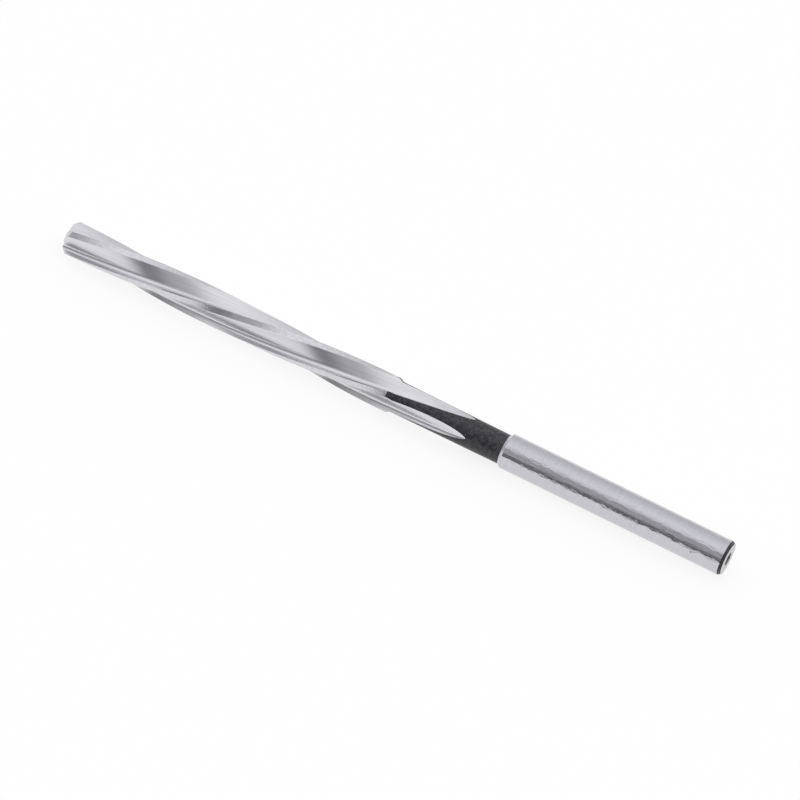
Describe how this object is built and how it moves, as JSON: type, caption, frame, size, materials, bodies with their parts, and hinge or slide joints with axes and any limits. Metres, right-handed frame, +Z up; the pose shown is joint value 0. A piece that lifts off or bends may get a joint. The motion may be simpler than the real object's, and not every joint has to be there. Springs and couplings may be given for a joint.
{
  "type": "machine reamer",
  "caption": "Straight-shank machine reamer: left-hand helical flutes, turned neck and plain ground shank with a centre hole",
  "frame": {"origin": "On the surface the tool lies on, below the middle of its length; the axis is half a cutting diameter above it.", "axes": "+X along the tool axis from the cutting end to the shank end, +Z up, +Y to the back."},
  "size_m": [0.07, 0.0034, 0.0035],
  "materials": {
    "tool_steel": "ground bright, neck left dark"
  },
  "bodies": {
    "root": {"reamer": "tool_steel"}
  },
  "joints": []
}
